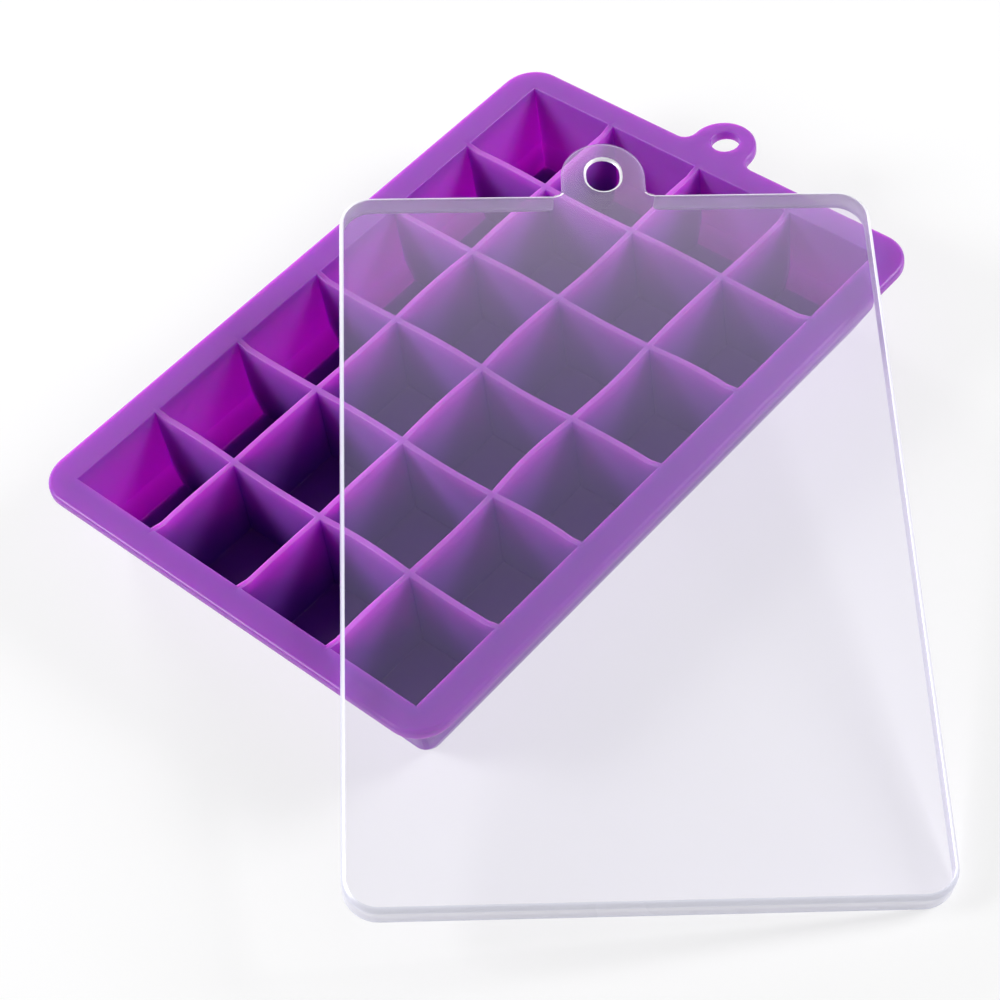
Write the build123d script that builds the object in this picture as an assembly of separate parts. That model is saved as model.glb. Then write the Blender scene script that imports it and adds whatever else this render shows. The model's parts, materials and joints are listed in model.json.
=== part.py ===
from build123d import *
import math
import os

# Driving sizes in mm. The frame's origin is the middle of the tray's underside, Z is up,
# X runs along the tray and the hanging tab is at +X.
pitch = 30.0
cells_long = 6
cells_wide = 4
divider_top = 1.6
divider_draft = 0.06
divider_drop = 1.1
divider_round = 0.75
mouth_in = 2.1
wall = 2.5
wall_draft = 0.10
wall_corner = 3.0
bevel_tall = 5.9
bevel_slope = 0.5
cell_depth = 23.5
floor_thick = 3.0
rim_thick = 3.0
rim_short_side = 7.5
rim_long_side = 8.7
rim_corner = 9.5
rim_top_round = 1.0
rim_under_round = 0.6
tab_radius = 9.2
tab_reach = 3.4
tab_hole = 3.9
tab_hole_out = 1.4
tab_neck = 5.0

lid_clear = 0.3
lid_rest_gap = 0.3
lid_wall = 0.8
lid_thick = 1.2
lid_deep = 6.5
lid_corner = 8.0
lid_edge = 0.8
lid_tab_radius = 10.9
lid_tab_reach = 5.9
lid_tab_hole = 4.5
lid_tab_neck = 2.0
lid_gap_side = 1.9
lid_gap_round = 3.5

# How the loose lid lies: askew over the front of the tray, one corner on the table. Its left skirt
# crosses the left rim this far in front of a quarter of its length, its right skirt crosses the
# front rim this far from the right, and it reaches this far past that second crossing.
lid_left_grip = 8.5538
lid_right_grip = 16.6817
lid_past_grip = 23.9062
lid_off_table = 0.1

height = cell_depth + floor_thick
bevel_start = cell_depth - bevel_tall
mouth_x = cells_long * pitch / 2 - mouth_in
mouth_y = cells_wide * pitch / 2 - mouth_in
rim_x = mouth_x + rim_short_side
rim_y = mouth_y + rim_long_side
wall_side = wall * math.hypot(1, wall_draft)
bevel_side = wall * math.hypot(1, bevel_slope)
outer_bevel_start = bevel_start + (bevel_side - wall_side) / (bevel_slope - wall_draft)
far = 300.0


def drawn_in(depth, start):
    return wall_draft * min(depth, start) + bevel_slope * max(0.0, depth - start)


def outer_slice(depth):
    inward = drawn_in(depth, outer_bevel_start)
    length = 2 * (mouth_x + wall_side - inward)
    width = 2 * (mouth_y + wall_side - inward)
    return Pos(0, 0, height - depth) * RectangleRounded(length, width, wall_corner)


def outer_block(first, last):
    return loft([outer_slice(first), outer_slice(last)], ruled=True)


def cell_space(mouth, plane):
    above = 1.0
    top = mouth + wall_draft * above
    kink = mouth - drawn_in(bevel_start, bevel_start)
    foot = mouth - drawn_in(cell_depth, bevel_start)
    outline = Polygon(
        (-top, height + above),
        (-kink, height - bevel_start),
        (-foot, floor_thick),
        (foot, floor_thick),
        (kink, height - bevel_start),
        (top, height + above),
        align=None,
    )
    return extrude(plane * outline, amount=far, both=True)


def beyond(x, y):
    return Pos(x * far, y * far, 0) * Box(2 * far, 2 * far, 2 * far)


def one(shape):
    solids = shape.solids()
    assert len(solids) == 1, len(solids)
    return solids[0]


between_long = cell_space(mouth_y, Plane.YZ)
between_short = cell_space(mouth_x, Plane.XZ)


def four_sides(block):
    long_sides = block - between_long
    short_sides = (block & between_long) - between_short
    return {
        "front": long_sides & beyond(0, -1),
        "back": long_sides & beyond(0, 1),
        "left": short_sides & beyond(-1, 0),
        "right": short_sides & beyond(1, 0),
    }


parts = {}

# The rim is one plate with its tab, rounded all round, and then cut into its sides.
tab_x = rim_x + tab_reach
hole_x = tab_x + tab_hole_out
outline = RectangleRounded(2 * rim_x, 2 * rim_y, rim_corner)
outline += Pos(tab_x, 0) * Circle(tab_radius)
inner_corners = [v for v in outline.vertices() if abs(v.X - rim_x) < 0.01 and abs(v.Y) < tab_radius]
outline = fillet(inner_corners, tab_neck)
plate = extrude(Pos(0, 0, height - rim_thick) * outline, amount=rim_thick)
plate = fillet(plate.faces().sort_by(Axis.Z)[-1].edges(), rim_top_round)
plate = fillet(plate.faces().sort_by(Axis.Z)[0].edges(), rim_under_round)
plate -= Pos(hole_x, 0, height - rim_thick / 2) * Cylinder(tab_hole, 2 * rim_thick)
tab_side = Pos(rim_x + far, 0, 0) * Box(2 * far, 2 * far, 2 * far)
for side, solid in four_sides(plate - tab_side).items():
    parts["rim_" + side] = one(solid)
parts["hang_tab"] = one(plate & tab_side)

# Outer walls under the rim, the sloping band at their foot, and the floor.
for side, solid in four_sides(outer_block(rim_thick, bevel_start)).items():
    parts["wall_" + side] = one(solid)
band = outer_block(bevel_start, outer_bevel_start) + outer_block(outer_bevel_start, cell_depth)
for side, solid in four_sides(band).items():
    parts["base_bevel_" + side] = one(solid)
parts["tray_floor"] = one(outer_block(cell_depth, height))


def divider(plane, rounded):
    high = divider_top / 2 + divider_draft * divider_drop
    low = divider_top / 2 + divider_draft * cell_depth
    profile = Polygon(
        (-low, floor_thick),
        (low, floor_thick),
        (high, height - divider_drop),
        (-high, height - divider_drop),
        align=None,
    )
    if rounded:
        profile = fillet(profile.vertices().group_by(Axis.Y)[-1], divider_round)
    return extrude(plane * profile, amount=far, both=True)


long_lines = [pitch * (i - cells_wide / 2) for i in range(1, cells_wide)]
cross_lines = [pitch * (i - cells_long / 2) for i in range(1, cells_long)]
for i, y in enumerate(long_lines):
    parts[f"long_divider_{i + 1}"] = one((Pos(0, y, 0) * divider(Plane.YZ, True)) & between_short)
room = between_long
for y in long_lines:
    straight = Pos(0, y, 0) * divider(Plane.YZ, False)
    head = Pos(0, y, height) * Box(2 * far, divider_top, 2 * divider_drop)
    room = room - straight - head
for i, x in enumerate(cross_lines):
    pieces = (Pos(x, 0, 0) * divider(Plane.XZ, True)) & room
    assert len(pieces.solids()) == cells_wide
    parts[f"cross_divider_{i + 1}"] = Compound(children=pieces.solids())

# The lid in its own axes: top face at Z 0, tab at +Y.
lid_half_w = rim_y + lid_clear + lid_wall
lid_half_l = rim_x + lid_clear + lid_wall
lid_tab_y = lid_half_l + lid_tab_reach
lid_gap_half = lid_tab_radius + lid_gap_side
lid = {}
cover = RectangleRounded(2 * lid_half_w, 2 * lid_half_l, lid_corner)
root = Pos(0, lid_half_l) * Rectangle(2 * lid_tab_radius, 2 * lid_tab_reach)
cover += root + Pos(0, lid_tab_y) * Circle(lid_tab_radius)
neck_half = lid_tab_radius + lid_tab_neck
neck = [v for v in cover.vertices() if abs(v.Y - lid_half_l) < 0.01 and abs(v.X) < neck_half]
cover = fillet(neck, lid_tab_neck)
sheet = extrude(cover, amount=-lid_thick)
sheet = fillet(sheet.faces().sort_by(Axis.Z)[-1].edges(), lid_edge)
sheet -= Pos(0, lid_tab_y, 0) * Cylinder(lid_tab_hole, 4 * lid_thick)
past_end = Pos(0, lid_half_l + far, 0) * Box(2 * far, 2 * far, 2 * far)
lid["lid_panel"] = sheet - past_end
lid["lid_tab"] = sheet & past_end

skirt_tall = lid_deep - lid_thick
skirt_mid = -lid_thick - skirt_tall / 2
straight_w = lid_half_w - lid_corner
straight_l = lid_half_l - lid_corner
side_bar = Box(lid_wall, 2 * straight_l, skirt_tall)
lid["lid_skirt_left"] = Pos(-lid_half_w + lid_wall / 2, 0, skirt_mid) * side_bar
lid["lid_skirt_right"] = Pos(lid_half_w - lid_wall / 2, 0, skirt_mid) * side_bar
near_bar = Box(2 * straight_w, lid_wall, skirt_tall)
lid["lid_skirt_near"] = Pos(0, -lid_half_l + lid_wall / 2, skirt_mid) * near_bar
far_bar = Box(straight_w - lid_gap_half, lid_wall, skirt_tall)
low_edge = far_bar.edges().filter_by(Axis.Y).sort_by(Axis.X)[:2].sort_by(Axis.Z)[0]
far_right = fillet(low_edge, lid_gap_round)
far_mid = (straight_w + lid_gap_half) / 2
lid["lid_skirt_far_right"] = Pos(far_mid, lid_half_l - lid_wall / 2, skirt_mid) * far_right
lid["lid_skirt_far_left"] = mirror(lid["lid_skirt_far_right"], about=Plane.YZ)
ring = Circle(lid_corner) - Circle(lid_corner - lid_wall)
quarter = ring & (Pos(far, far) * Rectangle(2 * far, 2 * far))
bend = extrude(quarter, amount=skirt_tall)
turns = {
    "far_right": (1, 1, 0),
    "far_left": (-1, 1, 90),
    "near_left": (-1, -1, 180),
    "near_right": (1, -1, 270),
}
for spot, (sx, sy, turn) in turns.items():
    corner = Pos(sx * straight_w, sy * straight_l, -lid_deep) * Rot(0, 0, turn) * bend
    lid["lid_corner_" + spot] = corner

# The lid lies on three points: the inner edges of its left and right skirts on the rounded edges
# of the left and front rims, and its near right corner on the table. These set its height and
# tilt, which are guessed first and then corrected until all three points are met.
edge_x = -rim_x + rim_top_round
edge_y = -rim_y + rim_top_round
edge_z = height - rim_top_round
inner_half_w = lid_half_w - lid_wall
crossing = Vector(rim_x - lid_right_grip, edge_y, 0)
span = crossing - Vector(edge_x, -rim_y / 2 - lid_left_grip, 0)
turn = math.atan2(span.Y, span.X) + math.asin(2 * inner_half_w / span.length)
level = Vector(math.cos(turn), math.sin(turn), 0)
aside = Vector(math.sin(turn), -math.cos(turn), 0)
middle = crossing - aside * inner_half_w - level * (lid_half_l - lid_past_grip)
lid_x = middle.X
lid_y = middle.Y
lid_z = height + lid_deep
tilt_x = 0.0
tilt_y = 0.1
for step in range(20):
    along = level + Vector(0, 0, tilt_x * level.X + tilt_y * level.Y)
    along = along.normalized()
    upward = Vector(-tilt_x, -tilt_y, 1).normalized()
    across = along.cross(upward)
    foot = Vector(lid_x, lid_y, lid_z) - upward * lid_deep
    left = foot - across * inner_half_w
    left += along * ((edge_x - left.X) / along.X)
    right = foot + across * inner_half_w
    right += along * ((edge_y - right.Y) / along.Y)
    downhill = across * -across.Z + along * -along.Z
    corner = foot + across * straight_w - along * straight_l + downhill.normalized() * lid_corner
    reach = rim_top_round + lid_rest_gap
    left_rise = edge_z + reach * math.hypot(1, along.Z / along.X) - left.Z
    right_rise = edge_z + reach * math.hypot(1, along.Z / along.Y) - right.Z
    corner_rise = lid_off_table - corner.Z
    first = Vector(left.X, left.Y, left_rise)
    second = Vector(right.X, right.Y, right_rise)
    third = Vector(corner.X, corner.Y, corner_rise)
    change = (second - first).cross(third - first)
    more_x = -change.X / change.Z
    more_y = -change.Y / change.Z
    lid_z += left_rise + more_x * (lid_x - left.X) + more_y * (lid_y - left.Y)
    tilt_x += more_x
    tilt_y += more_y
assert max(abs(left_rise), abs(right_rise), abs(corner_rise)) < 0.001
lying = Plane((lid_x, lid_y, lid_z), x_dir=across, z_dir=upward)
for name, shape in lid.items():
    parts[name] = one(lying.location * shape)

os.makedirs("parts", exist_ok=True)
for name, shape in parts.items():
    export_step(shape, f"parts/{name}.step")
lowest = min(parts[name].bounding_box().min.Z for name in lid)
print(len(parts), "nodes; the lid's lowest point is", round(lowest, 3), "above the table")
tray = [name for name in parts if name not in lid]
gap = min(parts[a].distance_to(parts[b]) for a in lid for b in tray if b.startswith(("rim", "hang")))
print("least gap from lid to rim", round(gap, 3))
print("lid at", round(lid_z, 4), "with tilt", round(tilt_x, 5), round(tilt_y, 5))
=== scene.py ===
import json
import math

import bmesh
import bpy
from bmesh.types import BMEdge, BMVert
from mathutils import Matrix, Vector


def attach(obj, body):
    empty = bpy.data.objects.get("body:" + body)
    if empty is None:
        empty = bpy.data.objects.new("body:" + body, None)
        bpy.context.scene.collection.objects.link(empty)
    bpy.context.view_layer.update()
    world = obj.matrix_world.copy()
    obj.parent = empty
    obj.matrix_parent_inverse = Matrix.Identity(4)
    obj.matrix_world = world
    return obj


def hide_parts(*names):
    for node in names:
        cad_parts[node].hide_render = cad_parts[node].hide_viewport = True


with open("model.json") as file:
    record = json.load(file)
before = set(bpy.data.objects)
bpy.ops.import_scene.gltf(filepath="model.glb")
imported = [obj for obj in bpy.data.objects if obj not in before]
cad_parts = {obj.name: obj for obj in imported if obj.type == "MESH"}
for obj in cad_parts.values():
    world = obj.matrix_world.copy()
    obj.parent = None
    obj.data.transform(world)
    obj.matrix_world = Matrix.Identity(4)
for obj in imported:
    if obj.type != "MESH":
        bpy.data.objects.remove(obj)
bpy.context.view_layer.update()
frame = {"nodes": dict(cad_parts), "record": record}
scene = bpy.context.scene
scene.view_settings.view_transform = "Standard"
print("frame loaded:", len(frame["nodes"]), "solids")


class Wire:  # a shader socket that can be added, multiplied and so on
    def __init__(self, tree, socket=None):
        self.tree = tree
        self.socket = socket

    def node(self, kind, settings=None, sockets=None, give=0):
        made = self.tree.nodes.new(kind)
        for key, value in (settings or {}).items():
            setattr(made, key, value)
        for key, value in (sockets or {}).items():
            if isinstance(value, Wire):
                self.tree.links.new(value.socket, made.inputs[key])
            else:
                made.inputs[key].default_value = value
        return Wire(self.tree, made.outputs[give] if len(made.outputs) else None)

    def sums(self, operation, first, second):
        return self.node("ShaderNodeMath", {"operation": operation}, {0: first, 1: second})

    def __add__(self, other):
        return self.sums("ADD", self, other)

    def __radd__(self, other):
        return self.sums("ADD", other, self)

    def __sub__(self, other):
        return self.sums("SUBTRACT", self, other)

    def __mul__(self, other):
        return self.sums("MULTIPLY", self, other)

    def __rmul__(self, other):
        return self.sums("MULTIPLY", other, self)


def newFinish(name):
    material = bpy.data.materials.new(name)
    material.use_nodes = True
    material.node_tree.nodes.clear()
    return material, Wire(material.node_tree)


def blendColour(wire, share, first, second):
    return wire.node(
        "ShaderNodeMix",
        {"data_type": "RGBA"},
        {"Factor": share, "A": first, "B": second},
        give="Result",
    )


def cloudAndBump(wire, here, look):
    cloud = wire.node("ShaderNodeTexNoise", {}, {
        "Vector": here, "Scale": look["cloudSize"], "Detail": look["cloudDetail"],
    })
    grain = wire.node("ShaderNodeTexNoise", {}, {
        "Vector": here, "Scale": look["grain"], "Detail": look["grainDetail"],
    })
    bump = wire.node("ShaderNodeBump", {}, {
        "Strength": look["grainStrength"], "Distance": look["grainDepth"], "Height": grain,
    })
    return cloud, bump


silicone = {
    "paintedShade": (0.12, 0.024, 0.30, 1),   # painted shade: darkens the cell floors and the sloping feet
    "light": (0.435, 0.14, 0.64, 1),  # painted highlight: lightens the divider tops
    "cloud": (0.26, 0.065, 0.43, 1),
    "cloudShare": 0.4,
    "cloudSize": 22.0,         # per metre, as the grain
    "cloudDetail": 3.0,
    "grain": 1500.0,
    "grainDetail": 2.0,
    "grainDepth": 0.00003,
    "grainStrength": 0.25,
    "rough": 0.29,
    "cloudRough": 0.08,
    "bending": 1.41,           # index of refraction
    "through": 0.85,           # how much light goes through
    "reach": (0.0150, 0.0022, 0.0115),
}


def siliconeFinish():
    s = silicone
    material, wire = newFinish("silicone")
    here = wire.node("ShaderNodeTexCoord", give="Object")
    cloud, bump = cloudAndBump(wire, here, s)
    # painted light and shade: each point of the tray carries a share from the painted shade
    # colour to the painted highlight colour
    paintedLightShade = wire.node("ShaderNodeAttribute", {"attribute_name": "paintedLightShade"}, give="Fac")
    colour = blendColour(wire, paintedLightShade, s["paintedShade"], s["light"])
    clouded = s["cloudShare"] * (cloud * cloud)
    shader = wire.node("ShaderNodeBsdfPrincipled", {"subsurface_method": "RANDOM_WALK"}, {
        "Base Color": blendColour(wire, clouded, colour, s["cloud"]),
        "Roughness": s["rough"] + s["cloudRough"] * cloud,
        "Normal": bump,
        "IOR": s["bending"],
        "Subsurface Weight": s["through"],
        "Subsurface Radius": s["reach"],
        "Subsurface Scale": 1.0,
    })
    wire.node("ShaderNodeOutputMaterial", {}, {"Surface": shader})
    return material


lidPlastic = {                 # veil and shine: the shares of light a face scatters and mirrors
    "panel": {
        "colour": (0.56, 0.46, 0.98, 1),
        "cloud": (0.63, 0.53, 0.99, 1),
        "paintedSheen": (0.84, 0.69, 1.0, 1),  # painted sheen: its lighter colour towards the tab
        "gloss": (0.84, 0.72, 1.0, 1),
        "veil": 0.06,
        "paintedSheenVeil": 0.13,          # painted sheen: more veil towards the tab
        "shine": 0.028,
        "polish": 0.45,        # roughness of the mirrored share
    },
    "skirt": {
        "colour": (0.84, 0.84, 0.98, 1),
        "cloud": (0.90, 0.88, 0.99, 1),
        "paintedSheen": (0.95, 0.94, 1.0, 1),
        "gloss": (0.97, 0.96, 1.0, 1),
        "veil": 0.36,
        "paintedSheenVeil": 0.12,
        "shine": 0.26,
        "polish": 0.4,
    },
    "edge": {
        "colour": (0.68, 0.69, 0.85, 1),
        "cloud": (0.76, 0.75, 0.88, 1),
        "paintedSheen": (0.97, 0.96, 1.0, 1),
        "gloss": (0.92, 0.93, 1.0, 1),
        "veil": 0.60,
        "paintedSheenVeil": 0.30,
        "shine": 0.28,
        "polish": 0.4,
    },
    "paintedSheenRun": (-0.040, 0.095),  # metres along the lid over which the painted sheen rises
    "cloudSize": 14.0,
    "cloudDetail": 3.0,
    "cloudVeil": 0.03,
    "grain": 900.0,
    "grainDetail": 2.0,
    "grainDepth": 0.00002,
    "grainStrength": 0.06,
    "rough": 0.22,
    "cloudRough": 0.1,
    "bending": 1.49,
    "edgePower": 5.0,          # how fast the shine rises towards grazing views
}


def lidFinish(portion):
    p = {**lidPlastic, **lidPlastic[portion]}
    material, wire = newFinish("frosted lid " + portion)
    here = wire.node("ShaderNodeTexCoord", give="Object")
    cloud, bump = cloudAndBump(wire, here, p)
    place = lidPlace()
    along, middle = place.col[1].to_3d(), place.translation * millimetre
    run = wire.node(
        "ShaderNodeVectorMath", {"operation": "DOT_PRODUCT"}, {0: here, 1: along}, give="Value"
    )
    # painted sheen: the lid turns lighter and more veiled towards the tab
    start, stop = (along.dot(middle) + metres for metres in p["paintedSheenRun"])
    paintedSheenShare = wire.node("ShaderNodeMapRange", {}, {"Value": run, "From Min": start, "From Max": stop})
    paintedSheenShare = paintedSheenShare * paintedSheenShare
    colour = blendColour(wire, cloud, p["colour"], p["cloud"])
    veil = wire.node("ShaderNodeBsdfPrincipled", {}, {
        "Base Color": blendColour(wire, paintedSheenShare, colour, p["paintedSheen"]),
        "Roughness": p["rough"] + p["cloudRough"] * cloud,
        "Normal": bump,
        "IOR": p["bending"],
        "Alpha": p["veil"] + p["paintedSheenVeil"] * paintedSheenShare + p["cloudVeil"] * (cloud - 0.5),
    })
    gloss = wire.node("ShaderNodeBsdfGlossy", {}, {"Color": p["gloss"], "Roughness": p["polish"]})
    edgeOn = wire.node("ShaderNodeLayerWeight", {}, {"Blend": 0.5}, give="Facing")
    shine = p["shine"] + (1 - p["shine"]) * wire.sums("POWER", edgeOn, p["edgePower"])
    shader = wire.node("ShaderNodeMixShader", {}, {0: shine, 1: veil, 2: gloss})
    wire.node("ShaderNodeOutputMaterial", {}, {"Surface": shader})
    return material


millimetre = 0.001
flatArea = 0.001  # square metres; larger faces are shaded flat
normalWeight = 80


def finished(name, bm, finishes, body, nodes):
    bmesh.ops.scale(bm, vec=(millimetre, millimetre, millimetre), verts=bm.verts[:])
    mesh = bpy.data.meshes.new(name)
    bm.to_mesh(mesh)
    bm.free()
    for polygon in mesh.polygons:
        polygon.use_smooth = polygon.area < flatArea
    for material in finishes:
        mesh.materials.append(material)
    piece = bpy.data.objects.new(name, mesh)
    scene.collection.objects.link(piece)
    even = piece.modifiers.new("even normals", "WEIGHTED_NORMAL")
    even.weight = normalWeight
    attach(piece, body)
    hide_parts(*nodes)


tiny = 0.01       # millimetres; points this close are one
slack = 0.1       # how far off a place still counts, in finer and coarser tests
close = 0.5
clear = 1.0
anyBend = 12      # degrees
sharpBend = 60
leastSteps = 5
stepsPerMillimetre = 1.2


def roundCorners(bm, verts, size, steps):
    bmesh.ops.bevel(bm, geom=verts, offset=size, offset_type="OFFSET", affect="VERTICES",
                    segments=steps, profile=0.5, clamp_overlap=False, material=-1)


def roundEdges(bm, edges, size, steps, clamp=True):
    bmesh.ops.bevel(bm, geom=edges, offset=size, offset_type="OFFSET", affect="EDGES",
                    segments=steps, profile=0.5, clamp_overlap=clamp, material=-1)


def roundedSheet(bm, corners, z):  # flat; each corner is x, y and its rounding
    verts = [bm.verts.new((x, y, z)) for x, y, r in corners]
    bm.faces.new(verts)
    for vert, (x, y, r) in zip(verts, corners):
        if r:
            roundCorners(bm, [vert], r, max(leastSteps, int(r * stepsPerMillimetre)))


def sharpEdges(bm, lowZ, highZ, inside, least=anyBend):
    found = []
    for e in bm.edges:
        if len(e.link_faces) != 2 or e.calc_face_angle(0) < math.radians(least):
            continue
        if all(lowZ - tiny < v.co.z < highZ + tiny and inside(v.co) for v in e.verts):
            found.append(e)
    return found


def mirrored(bm, axis, dist):
    everything = bm.verts[:] + bm.edges[:] + bm.faces[:]
    bmesh.ops.mirror(bm, geom=everything, axis=axis, merge_dist=tiny)
    bmesh.ops.remove_doubles(bm, verts=bm.verts[:], dist=dist)
    bmesh.ops.recalc_face_normals(bm, faces=bm.faces[:])


def ofKind(geom, kind):
    return [part for part in geom if isinstance(part, kind)]


def fall(edge):
    return abs(edge.verts[0].co.z - edge.verts[1].co.z)


def atHeight(edge, z):  # level at this height, and off the mirror's line
    level = all(abs(v.co.z - z) < tiny for v in edge.verts)
    return level and any(v.co.y > tiny for v in edge.verts)


def within(edge, x, y):
    return all(abs(v.co.x) < x + tiny and v.co.y < y + tiny for v in edge.verts)


def anywhere(co):
    return True


def softStep(t):
    t = min(1.0, max(0.0, t))
    return t * t * (3 - 2 * t)


tray = {                       # millimetres; a rounding is its size and steps
    "pitch": 30.0,
    "along": 6,
    "across": 4,
    "dividerTop": 1.6,
    "dividerDraft": 0.06,
    "dividerDrop": 1.1,
    "dropRun": 5.0,            # how far down the drop is felt
    "dropFade": 1.5,           # and how it fades towards the walls
    "mouthIn": 2.1,            # outer mouths' edges in from the outer cell lines
    "wallThick": 2.5,
    "wallDraft": 0.10,
    "footStart": 17.6,
    "footSlope": 0.5,
    "cellDepth": 23.5,
    "floorThick": 3.0,
    "rimThick": 3.0,
    "rimX": 95.4,
    "rimY": 66.6,
    "rimCorner": 9.5,
    "wallCorner": 3.0,
    "tabX": 98.8,
    "tabRadius": 9.2,
    "holeX": 100.2,
    "tabHole": 3.9,
    "tabNeck": 3.2,
    "cellRound": (0.75, 3),
    "footRound": (1.5, 3),
    "baseRound": (1.2, 3),
    "rimRound": (1.0, 4),
    "underRound": (0.6, 2),
    "holeRound": (0.4, 2),
    "leastSide": 10.0,         # shorter edges are no cell sides
    "leastLine": 50.0,         # shorter edges are no inner lines of the rim
    "pieces": 8,               # runs along each cell edge
    "wallRuns": 4,             # runs down each cell wall
    # painted light and shade: a plain level, painted shade on the sloping feet and deeper in the
    # cells, and a painted highlight on the divider tops
    "plainTone": 0.5,
    "footPaintedShade": 0.04,
    "deepPaintedShade": 0.45,          # painted shade: how much darker the cells get towards their floors
    "topRun": 0.6,             # how far down the painted highlight on the divider tops reaches
    "topIn": 0.3,              # and how far in from the walls they start
    "footSkip": 0.3,
    "bowReach": 2.6,           # how far from a divider's middle its faces lie
    "bowFade": 1.3,
    "crossBow": [              # sideways bow of the soft dividers, from front to back
        [-0.2, 0.65, -0.25, 0.4],
        [0.85, -0.45, 0.3, -0.35],
        [0.35, -0.6, 0.45, -0.4],
        [0.95, -0.3, 0.4, 0.0],
        [-0.1, 0.4, -0.25, 0.4],
    ],
    "longBow": [               # from left to right
        [0.6, -0.35, 1.0, -0.7, 0.3, -0.45],
        [0.1, 0.25, 0.5, 0.7, -0.5, 0.4],
        [0.4, 0.15, -0.2, 0.6, 0.45, 0.25],
    ],
}


def drawnIn(depth, start):
    t = tray
    return t["wallDraft"] * min(depth, start) + t["footSlope"] * max(0.0, depth - start)


def cellHalf(bm, top, lineX, lineY):
    t = tray
    half = Matrix.Translation((0, lineY / 2, top)) @ Matrix.Diagonal((lineX, lineY / 2, 1, 1))
    bmesh.ops.create_grid(bm, x_segments=t["along"], y_segments=t["across"] // 2,
                          size=1, matrix=half)
    cells = bm.faces[:]
    thickness = t["dividerTop"] / 2
    bmesh.ops.inset_individual(bm, faces=cells, thickness=thickness, use_even_offset=True)
    for depth in (0, t["footStart"], t["cellDepth"]):
        if depth:
            cells = bmesh.ops.extrude_discrete_faces(bm, faces=cells)["faces"]
        for cell in cells:
            middle = cell.calc_center_median()
            centre = [(math.floor(c / t["pitch"]) + 0.5) * t["pitch"] for c in middle[:2]]
            for vert in cell.verts:
                for axis, outer in ((0, lineX), (1, lineY)):
                    side = 1 if vert.co[axis] > centre[axis] else -1
                    line = centre[axis] + side * t["pitch"] / 2
                    edge, leans = t["dividerTop"] / 2, t["dividerDraft"] * depth
                    if abs(line) > outer - clear:
                        edge, leans = t["mouthIn"], drawnIn(depth, t["footStart"])
                    vert.co[axis] = line - side * (edge + leans)
                vert.co.z = top - depth
    level = [e for e in bm.edges if fall(e) < tiny and e.calc_length() > t["leastSide"]]
    bmesh.ops.subdivide_edges(bm, edges=level, cuts=t["pieces"] - 1, use_grid_fill=True)
    down = [e for e in bm.edges if fall(e) > t["leastSide"]]
    bmesh.ops.subdivide_edges(bm, edges=down, cuts=t["wallRuns"] - 1, use_grid_fill=True)


def rimHalf(bm, top, lineX, lineY, wallX, wallY):
    t = tray
    tip = t["tabX"] + t["tabRadius"]
    hole = t["tabHole"]
    outline = [
        (-t["rimX"], 0, 0),
        (-t["rimX"], t["rimY"], t["rimCorner"]),
        (t["rimX"], t["rimY"], t["rimCorner"]),
        (t["rimX"], t["tabRadius"], t["tabNeck"]),
        (tip, t["tabRadius"], t["tabRadius"]),
        (tip, 0, 0),
        (t["holeX"] + hole, 0, 0),
        (t["holeX"] + hole, hole, hole),
        (t["holeX"] - hole, hole, hole),
        (t["holeX"] - hole, 0, 0),
    ]
    under = top - t["rimThick"]
    for x, y, r, z in ((lineX, lineY, 0, top), (wallX, wallY, t["wallCorner"], under)):
        roundedSheet(bm, outline + [(x, 0, 0), (x, y, r), (-x, y, r), (-x, 0, 0)], z)
    lines = [
        e for e in bm.edges
        if atHeight(e, top) and len(e.link_faces) == 1
        and e.calc_length() > t["leastLine"] and within(e, lineX, lineY)
    ]
    for edge in lines:
        runs = round(edge.calc_length() / t["pitch"] * t["pieces"])
        bmesh.ops.bisect_edges(bm, edges=[edge], cuts=runs - 1)
    bmesh.ops.remove_doubles(bm, verts=bm.verts[:], dist=tiny)
    rimEdge = [
        e for e in bm.edges
        if atHeight(e, top) and len(e.link_faces) == 1
        and all(abs(v.co.x) > lineX + tiny or v.co.y > lineY + tiny for v in e.verts)
    ]
    side = bmesh.ops.extrude_edge_only(bm, edges=rimEdge)["geom"]
    bmesh.ops.translate(bm, vec=(0, 0, -t["rimThick"]), verts=ofKind(side, BMVert))
    bmesh.ops.remove_doubles(bm, verts=bm.verts[:], dist=tiny)


def wallHalf(bm, top, wallX, wallY, outerFoot):  # outer wall, its sloping foot and the underside
    t = tray
    under = top - t["rimThick"]
    ring = [
        e for e in bm.edges
        if atHeight(e, under) and len(e.link_faces) == 1 and within(e, wallX, wallY)
    ]
    before = drawnIn(t["rimThick"], outerFoot)
    for depth in (outerFoot, top):
        made = bmesh.ops.extrude_edge_only(bm, edges=ring)["geom"]
        more = drawnIn(depth, outerFoot) - before
        before += more
        z = top - depth
        for vert in ofKind(made, BMVert):
            vert.co.x -= math.copysign(more, vert.co.x)
            vert.co.y -= more if vert.co.y > tiny else 0
            vert.co.z = z
        ring = [e for e in ofKind(made, BMEdge) if all(abs(v.co.z - z) < tiny for v in e.verts)]
    ends = [v for e in ring for v in e.verts if abs(v.co.y) < tiny]
    ring.append(bm.edges.new(ends))
    bmesh.ops.contextual_create(bm, geom=ring)


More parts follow.
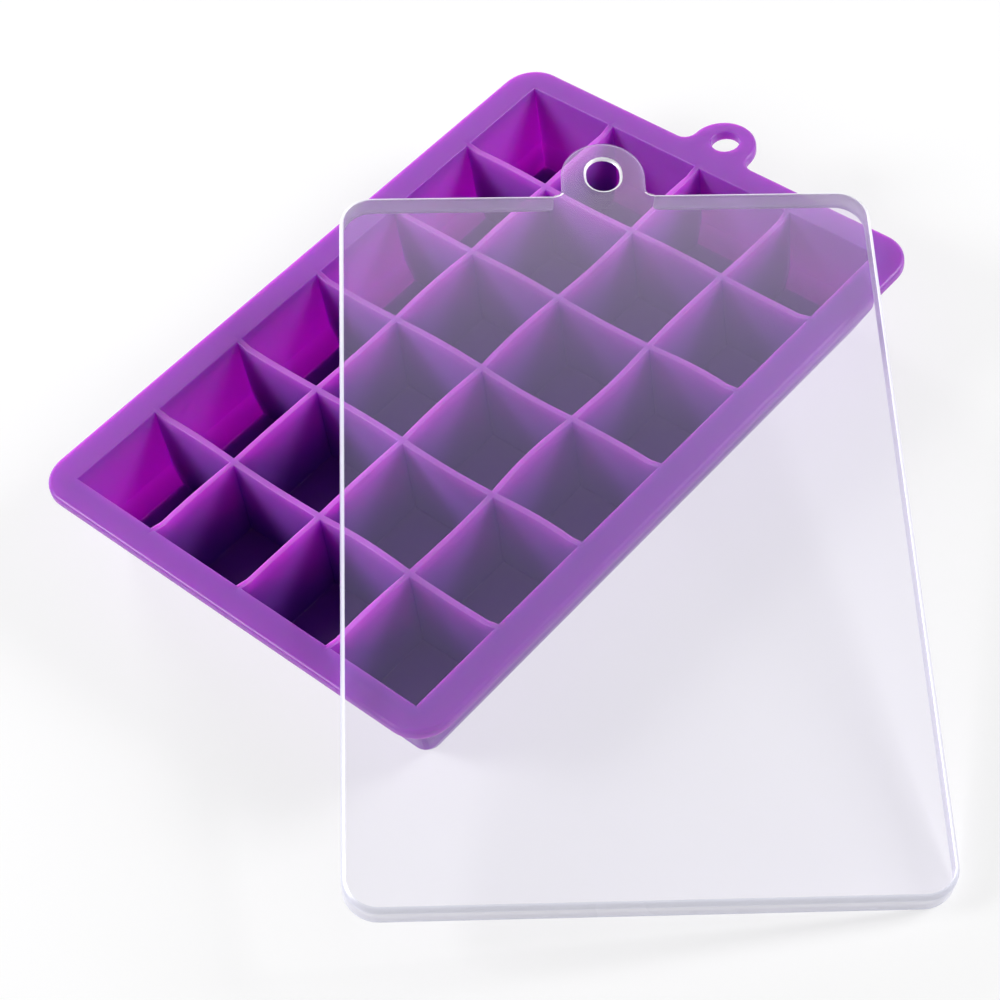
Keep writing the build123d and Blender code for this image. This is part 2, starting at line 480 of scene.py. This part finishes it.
def bowedDividers(bm, top, lineX, lineY):
    t = tray
    mouthX, mouthY = lineX - t["mouthIn"], lineY - t["mouthIn"]
    for vert in bm.verts:
        x, y, z = vert.co
        depth = top - z
        if abs(x) > mouthX or abs(y) > mouthY or depth > t["cellDepth"] - tiny:
            continue
        fade = (1 - depth / t["cellDepth"]) ** t["bowFade"]
        for axis, here, there, bows, hereEnd, thereEnd in (
            (0, x, y, t["crossBow"], lineX, lineY),
            (1, y, x, t["longBow"], lineY, lineX),
        ):
            line = round((here + hereEnd) / t["pitch"])
            off = abs(here + hereEnd - line * t["pitch"])
            if 0 < line <= len(bows) and off < t["bowReach"]:
                place = (there + thereEnd) / t["pitch"]
                run = min(int(place), len(bows[0]) - 1)
                vert.co[axis] += bows[line - 1][run] * math.sin(math.pi * (place - run)) * fade
        fromX = softStep((mouthX - abs(x)) / t["dropFade"])
        fromY = softStep((mouthY - abs(y)) / t["dropFade"])
        vert.co.z -= t["dividerDrop"] * (fromX * fromY) * max(0.0, 1 - depth / t["dropRun"])


def paintLightAndShade(bm, top, lineX, lineY):  # painted light and shade: a painted highlight on the divider tops, painted shade deeper in the cells and on the sloping feet
    t = tray
    paintedLightShade = bm.verts.layers.float.new("paintedLightShade")
    for vert in bm.verts:
        depth = top - vert.co.z
        leans = drawnIn(depth, t["footStart"])
        inX = lineX - t["mouthIn"] - leans - abs(vert.co.x)
        inY = lineY - t["mouthIn"] - leans - abs(vert.co.y)
        offWall = min(inX, inY)
        inCell = depth < t["cellDepth"] + slack
        vert[paintedLightShade] = t["plainTone"]
        # painted highlight on the divider tops
        if depth < t["topRun"] and offWall > t["topIn"]:
            vert[paintedLightShade] += (1 - t["plainTone"]) * (1 - depth / t["topRun"])
        # painted shade, darker towards the cell floors
        elif inCell and offWall > clear:
            vert[paintedLightShade] -= t["deepPaintedShade"] * max(0.0, depth - t["topRun"]) / t["cellDepth"]
        # painted shade on the sloping feet
        elif inCell and depth > t["footStart"] + t["footSkip"] and offWall > -close:
            vert[paintedLightShade] = t["footPaintedShade"]


def buildTray():
    t = tray
    top = t["cellDepth"] + t["floorThick"]
    under = top - t["rimThick"]
    lineX, lineY = t["pitch"] * t["along"] / 2, t["pitch"] * t["across"] / 2
    wallSide = t["wallThick"] * math.hypot(1, t["wallDraft"])
    footSide = t["wallThick"] * math.hypot(1, t["footSlope"])
    outerFoot = t["footStart"] + (footSide - wallSide) / (t["footSlope"] - t["wallDraft"])
    outerFootZ = top - outerFoot
    wallX, wallY = (
        line - t["mouthIn"] + wallSide - drawnIn(t["rimThick"], t["footStart"])
        for line in (lineX, lineY)
    )
    bm = bmesh.new()
    cellHalf(bm, top, lineX, lineY)
    rimHalf(bm, top, lineX, lineY, wallX, wallY)
    wallHalf(bm, top, wallX, wallY, outerFoot)
    mirrored(bm, "Y", tiny)

    def inCells(co):
        return abs(co.x) < lineX - slack and abs(co.y) < lineY - slack

    def fromHole(co):
        return math.hypot(co.x - t["holeX"], co.y) - t["tabHole"]

    def offHole(co):
        outside = abs(co.x) > lineX + close or abs(co.y) > lineY + close
        return outside and fromHole(co) > clear

    def onHole(co):
        return fromHole(co) < close

    roundEdges(bm, sharpEdges(bm, t["floorThick"], top, inCells), *t["cellRound"])
    roundEdges(bm, sharpEdges(bm, outerFootZ, outerFootZ, anywhere), *t["footRound"])
    roundEdges(bm, sharpEdges(bm, 0, 0, anywhere), *t["baseRound"])
    roundEdges(bm, sharpEdges(bm, top, top, offHole, sharpBend), *t["rimRound"])
    roundEdges(bm, sharpEdges(bm, under, under, offHole, sharpBend), *t["underRound"])
    roundEdges(bm, sharpEdges(bm, under, top, onHole, sharpBend), *t["holeRound"])
    paintLightAndShade(bm, top, lineX, lineY)
    bowedDividers(bm, top, lineX, lineY)
    openEdges = sum(len(e.link_faces) != 2 for e in bm.edges)
    print("tray:", len(bm.faces), "faces,", openEdges, "open edges")
    nodes = frame["record"]["behaviour"]["bodies"]["tray"]
    finished("siliconeTray", bm, [siliconeFinish()], "tray", nodes)


lid = {                        # millimetres, in the lid's own axes: top face at 0, tab at +y
    "halfWidth": 67.7,
    "halfLength": 96.5,
    "corner": 8.3,
    "deep": 6.5,
    "thick": 0.8,
    "fold": 1.8,
    "foldSteps": 4,
    "lip": 0.9,                # bright strip along the skirt's lower edge
    "edgeRound": (0.2, 2),
    "tabY": 102.4,
    "tabRadius": 10.8,
    "tabHole": 4.3,
    "holeLong": 5.0,
    "holeRound": (0.7, 3),
    "tabNeck": 2.0,
    "gapHalf": 12.9,
    "gapRound": (3.5, 6),
    "levelFrom": 0.98,         # upward share of a level face's normal
    "middle": (-19.997, -64.734, 30.7443),
    "heading": -47.84,         # degrees
    "tilt": (0.03041, 0.215322),
}


def lidPlace():
    turn = math.radians(lid["heading"])
    tiltX, tiltY = lid["tilt"]
    along = Vector((-math.sin(turn), math.cos(turn), 0))
    along.z = tiltX * along.x + tiltY * along.y
    upward = Vector((-tiltX, -tiltY, 1)).normalized()
    along.normalize()
    across = along.cross(upward)
    turned = Matrix((across, along, upward)).transposed().to_4x4()
    return Matrix.Translation(lid["middle"]) @ turned


def lidHalf(bm):
    d = lid
    w, l, r = d["halfWidth"], d["halfLength"], d["tabRadius"]
    hole, long, tip = d["tabHole"], d["holeLong"], d["tabY"] + d["tabRadius"]
    roundedSheet(bm, [
        (0, -l, 0),
        (w, -l, d["corner"]),
        (w, l, d["corner"]),
        (d["gapHalf"] + 2 * tiny, l, 0),
        (r, l, d["tabNeck"]),
        (r, tip, r),
        (0, tip, 0),
        (0, d["tabY"] + long, 0),
        (hole, d["tabY"] + long, hole),
        (hole, d["tabY"] - long, hole),
        (0, d["tabY"] - long, 0),
    ], 0)
    turned = [
        e for e in bm.edges
        if all(v.co.y < l + tiny for v in e.verts)
        and max(v.co.x for v in e.verts) > d["gapHalf"] + slack
    ]
    for step in (d["deep"] - d["lip"], d["lip"]):
        made = bmesh.ops.extrude_edge_only(bm, edges=turned)["geom"]
        lower = ofKind(made, BMVert)
        bmesh.ops.translate(bm, vec=(0, 0, -step), verts=lower)
        turned = [e for e in ofKind(made, BMEdge) if all(v in lower for v in e.verts)]
    end = [v for v in lower if abs(v.co.y - l) < tiny and v.co.x < d["gapHalf"] + slack]
    roundCorners(bm, end, *d["gapRound"])


def buildLid():
    d = lid
    bm = bmesh.new()
    lidHalf(bm)
    mirrored(bm, "X", tiny / 2)
    if max(bm.faces, key=lambda f: f.calc_area()).normal.z < 0:
        bmesh.ops.reverse_faces(bm, faces=bm.faces[:])
    bmesh.ops.solidify(bm, geom=bm.faces[:], thickness=d["thick"])
    bmesh.ops.recalc_face_normals(bm, faces=bm.faces[:])

    def offHole(co):
        return math.hypot(co.x, co.y - d["tabY"]) > d["holeLong"] + clear

    def onHole(co):
        return not offHole(co)

    roundEdges(bm, sharpEdges(bm, 0, 0, offHole, sharpBend), d["fold"], d["foldSteps"], False)
    roundEdges(bm, sharpEdges(bm, 0, 0, onHole, sharpBend), *d["holeRound"])
    roundEdges(bm, sharpEdges(bm, -d["deep"], 0, anywhere, sharpBend), *d["edgeRound"])
    bm.normal_update()
    for face in bm.faces:
        spot = face.calc_center_median()
        level = abs(face.normal.z) > d["levelFrom"] and spot.z > -d["thick"] - slack
        onTab = spot.y > d["halfLength"] + close and offHole(spot)
        if not level and not onTab:
            between = -d["deep"] + d["lip"] < spot.z < -d["fold"]
            face.material_index = 1 if between else 2
    openEdges = sum(len(e.link_faces) != 2 for e in bm.edges)
    spread = [round(f(v.co.z for v in bm.verts), 2) for f in (min, max)]
    bmesh.ops.transform(bm, matrix=lidPlace(), verts=bm.verts[:])
    print("lid:", len(bm.faces), "faces,", openEdges, "open edges, from", spread)
    nodes = frame["record"]["behaviour"]["bodies"]["lid"]
    finishes = [lidFinish(portion) for portion in ("panel", "skirt", "edge")]
    finished("frostedLid", bm, finishes, "lid", nodes)


buildTray()
buildLid()

studio = {
    "floorSize": 4.0,
    "floorColour": (0.94, 0.94, 0.95, 1),
    "floorRough": 0.9,
    "floorShine": 0.1,
    "floorLift": 0.65,         # how much of the floor's white is its own, to the eye
    "floorGlow": 1.06,
    "white": (1, 1, 1, 1),
    "fill": 0.035,             # world strength on the object
    "fade": (0.84, 0.98),      # where the white backdrop ends, as the rise of a view's way
    "aim": (0, 0, 0.02),
    "softboxes": {             # one at each hand of the camera, and a low one behind
        "left": {"place": (-0.77, 0.67, 0.64), "size": 0.45, "power": 10.5},
        "right": {"place": (0.77, -0.67, 0.64), "size": 0.45, "power": 10.5},
        "back": {"place": (0.35, 1.1, 0.22), "size": 0.4, "power": 11.0},
    },
}


def aimed(place, target):
    return (Vector(target) - Vector(place)).to_track_quat("-Z", "Y")


def seenRays(wire):  # 1 for what the eye sees, also in gloss and through plastic
    camera = wire.node("ShaderNodeLightPath", give="Is Camera Ray")
    rays = camera.socket.node.outputs
    glossy = Wire(wire.tree, rays["Is Glossy Ray"])
    through = Wire(wire.tree, rays["Is Transmission Ray"])
    return wire.sums("MINIMUM", camera + glossy + through, 1.0)


def buildFloor():
    s = studio
    bm = bmesh.new()
    bmesh.ops.create_grid(bm, x_segments=1, y_segments=1, size=s["floorSize"] / 2)
    mesh = bpy.data.meshes.new("floor")
    bm.to_mesh(mesh)
    bm.free()
    floor = bpy.data.objects.new("floor", mesh)
    scene.collection.objects.link(floor)
    material, wire = newFinish("pale floor")
    lit = wire.node("ShaderNodeBsdfPrincipled", {}, {
        "Base Color": s["floorColour"],
        "Roughness": s["floorRough"],
        "Specular IOR Level": s["floorShine"],
    })
    white = wire.node("ShaderNodeEmission", {}, {"Color": s["white"], "Strength": s["floorGlow"]})
    own = s["floorLift"] * seenRays(wire)
    shader = wire.node("ShaderNodeMixShader", {}, {0: own, 1: lit, 2: white})
    wire.node("ShaderNodeOutputMaterial", {}, {"Surface": shader})
    mesh.materials.append(material)


def buildWorld():
    s = studio
    world = bpy.data.worlds.new("studio")
    world.use_nodes = True
    world.node_tree.nodes.clear()
    wire = Wire(world.node_tree)
    way = wire.node("ShaderNodeTexCoord", give="Generated")
    rise = wire.node("ShaderNodeSeparateXYZ", {}, {0: way}, give="Z")
    start, stop = s["fade"]
    backdrop = wire.node(
        "ShaderNodeMapRange",
        {"interpolation_type": "SMOOTHSTEP"},
        {"Value": rise, "From Min": start, "From Max": stop, "To Min": 1.0, "To Max": 0.0},
    )
    shader = wire.node("ShaderNodeBackground", {}, {
        "Color": s["white"],
        "Strength": s["fill"] + (1 - s["fill"]) * backdrop * seenRays(wire),
    })
    wire.node("ShaderNodeOutputWorld", {}, {"Surface": shader})
    scene.world = world


def buildLights():
    for hand, box in studio["softboxes"].items():
        lamp = bpy.data.lights.new(hand + " softbox", "AREA")
        lamp.shape = "SQUARE"
        lamp.size = box["size"]
        lamp.energy = box["power"]
        light = bpy.data.objects.new(hand + " softbox", lamp)
        light.location = box["place"]
        light.visible_glossy = hand != "back"
        light.rotation_euler = aimed(box["place"], studio["aim"]).to_euler()
        scene.collection.objects.link(light)


buildFloor()
buildWorld()
buildLights()
print("studio lit")

view = {
    "place": (-0.285148, -0.327352, 0.481507),
    "target": (-0.030320, -0.032753, 0.0254),
    "roll": -10.3365,          # degrees
    "lens": 89.309,            # millimetres, as the sensor
    "sensor": 36,
    "nearest": 0.01,
}
lens = bpy.data.cameras.new("camera")
lens.sensor_width = view["sensor"]
lens.lens = view["lens"]
lens.clip_start = view["nearest"]
camera = bpy.data.objects.new("camera", lens)
camera.matrix_world = (
    Matrix.Translation(view["place"])
    @ aimed(view["place"], view["target"]).to_matrix().to_4x4()
    @ Matrix.Rotation(math.radians(view["roll"]), 4, "Z")
)
scene.collection.objects.link(camera)
scene.camera = camera
print("camera set")
